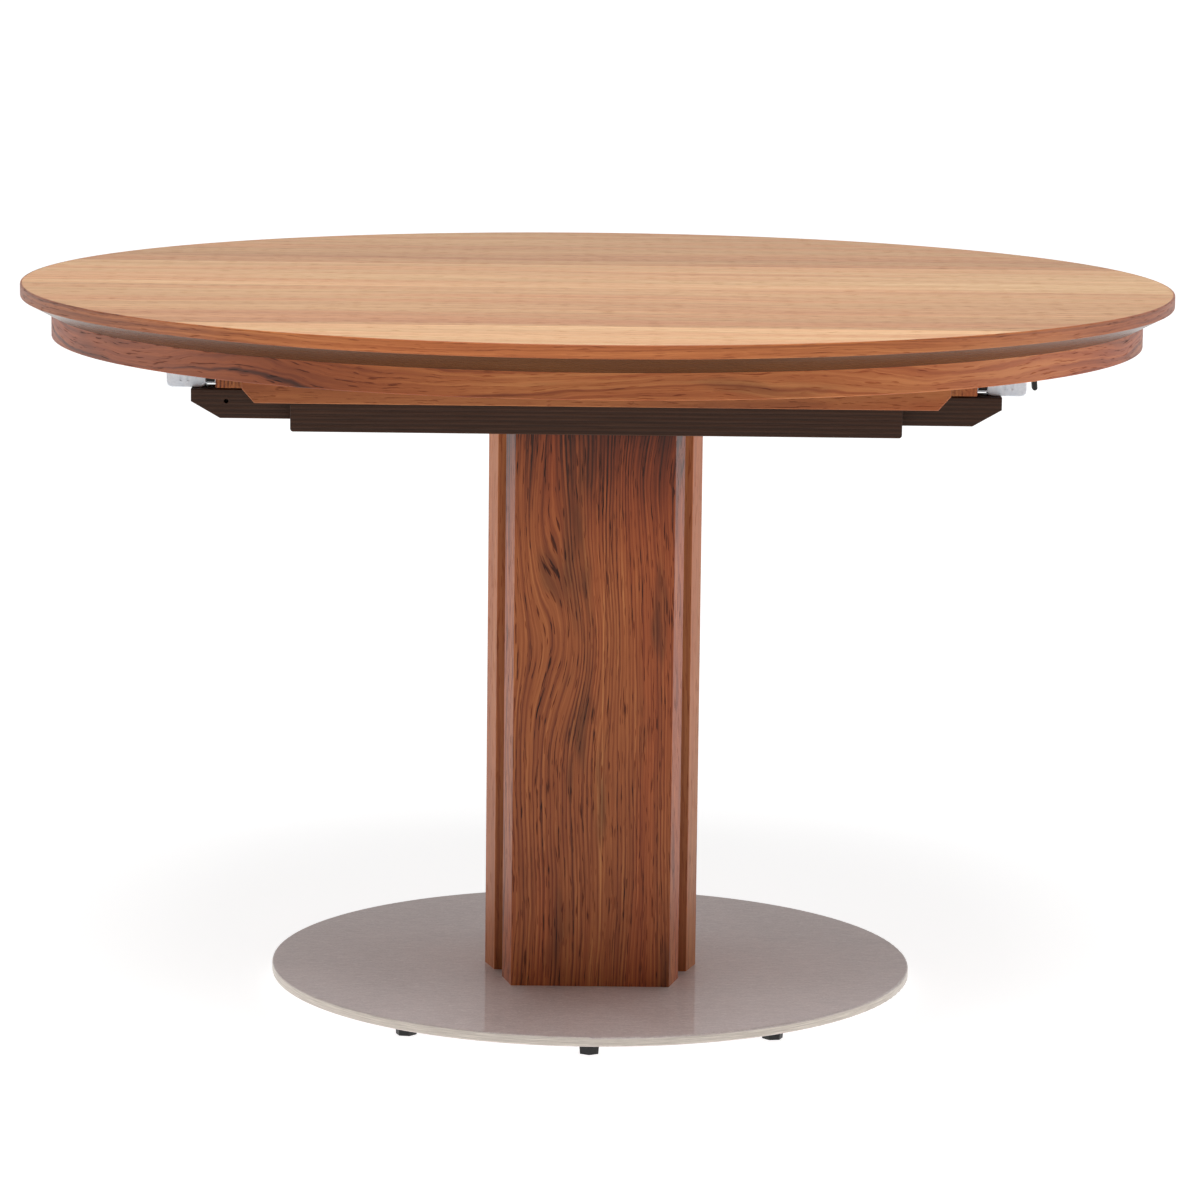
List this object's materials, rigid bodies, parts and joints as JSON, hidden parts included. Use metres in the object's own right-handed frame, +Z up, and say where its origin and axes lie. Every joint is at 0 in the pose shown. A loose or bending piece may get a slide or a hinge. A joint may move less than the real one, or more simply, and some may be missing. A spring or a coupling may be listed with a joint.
{
  "type": "round extending pedestal table",
  "caption": "Round walnut dining table on a board-built column and a round steel base plate; the top splits across the middle and both halves slide apart for a folding leaf.",
  "frame": {"origin": "on the floor under the middle of the round top", "axes": "+Z up; the seam of the top runs along X; the front half of the top slides to -Y and the rear half to +Y"},
  "size_m": [1.18, 1.1798, 0.74],
  "materials": {
    "walnut_top": "satin clear lacquer on walnut veneer",
    "walnut_edge": "satin clear lacquer on walnut",
    "walnut_apron": "satin clear lacquer on walnut",
    "walnut_batten": "satin clear lacquer on walnut",
    "walnut_column": "satin clear lacquer on walnut",
    "walnut_leaf": "satin clear lacquer on walnut veneer",
    "bevel_dark": "dark brown stained and lacquered",
    "dark_ply": "dark brown stained laminated wood",
    "plywood": "raw",
    "felt": "felt",
    "rail_metal": "clear anodised",
    "cap_metal": "zinc casting, light grey coat",
    "base_steel": "fine ground steel",
    "black_plastic": "moulded black",
    "gear_plastic": "natural moulded plastic",
    "hinge_brass": "satin",
    "zinc_steel": "zinc plated"
  },
  "bodies": {
    "pedestal": {"base_plate": "base_steel", "beam_screws": "zinc_steel", "bearers": "dark_ply", "column_corner_posts": "walnut_column", "column_end_blocks": "plywood", "column_front_board": "walnut_column", "column_rear_board": "walnut_column", "column_side_left": "walnut_column", "column_side_right": "walnut_column", "cross_beam_front": "dark_ply", "cross_beam_rear": "dark_ply", "floor_glides": "black_plastic", "gear_bar": "zinc_steel", "head_plate": "zinc_steel", "head_plate_screws": "zinc_steel", "leaf_hinge_pins": "hinge_brass", "leaf_hinge_plates": "hinge_brass", "leaf_lower": "walnut_leaf", "leaf_rests": "felt", "leaf_upper": "walnut_leaf", "lower_beams": "dark_ply", "pinion_pins": "zinc_steel", "rail_screws": "zinc_steel", "slide_rail_left": "rail_metal", "slide_rail_right": "rail_metal", "tie_nuts": "zinc_steel", "tie_rods": "zinc_steel", "tie_washers": "zinc_steel"},
    "top_front": {"apron_blocks_front": "walnut_batten", "apron_front": "walnut_apron", "battens_front": "walnut_batten", "edge_band_front": "walnut_edge", "fascia_front": "walnut_apron", "racks_front": "gear_plastic", "slide_caps_front": "cap_metal", "slider_screws_front": "zinc_steel", "sliders_front": "rail_metal", "stop_buffers_front": "black_plastic", "top_board_front": "walnut_top", "under_board_front": "bevel_dark", "lock_strike": "zinc_steel"},
    "top_rear": {"apron_blocks_rear": "walnut_batten", "apron_rear": "walnut_apron", "battens_rear": "walnut_batten", "edge_band_rear": "walnut_edge", "fascia_rear": "walnut_apron", "racks_rear": "gear_plastic", "slide_caps_rear": "cap_metal", "slider_screws_rear": "zinc_steel", "sliders_rear": "rail_metal", "stop_buffers_rear": "black_plastic", "top_board_rear": "walnut_top", "under_board_rear": "bevel_dark", "seam_dowels": "walnut_batten", "lock_body": "zinc_steel"},
    "pinion_left": {"pinion_left": "gear_plastic"},
    "pinion_right": {"pinion_right": "gear_plastic"},
    "lock_lever": {"lock_lever": "black_plastic", "lock_pin": "zinc_steel", "lock_cam": "zinc_steel"}
  },
  "joints": [
    {"name": "top_front_slide", "type": "slide", "parent": "pedestal", "child": "top_front", "axis": [0, -1, 0], "range_m": [0, 0.2]},
    {"name": "top_rear_slide", "type": "slide", "parent": "pedestal", "child": "top_rear", "axis": [0, 1, 0], "range_m": [0, 0.2]},
    {"name": "pinion_left_spin", "type": "hinge", "parent": "pedestal", "child": "pinion_left", "pos_m": [-0.318, 0, 0.685], "axis": [0, 0, 1], "range_deg": [0, 955]},
    {"name": "pinion_right_spin", "type": "hinge", "parent": "pedestal", "child": "pinion_right", "pos_m": [0.318, 0, 0.685], "axis": [0, 0, 1], "range_deg": [-955, 0]},
    {"name": "lock_lever_swing", "type": "hinge", "parent": "top_rear", "child": "lock_lever", "pos_m": [0.448, 0.0175, 0.69], "axis": [0, -1, 0], "range_deg": [0, 50]}
  ],
  "couplings": [
    {"joint": "top_rear_slide", "follows": "top_front_slide", "ratio": 1},
    {"joint": "pinion_left_spin", "follows": "top_front_slide", "rad_per_m": 83.333},
    {"joint": "pinion_right_spin", "follows": "top_front_slide", "rad_per_m": -83.333}
  ]
}
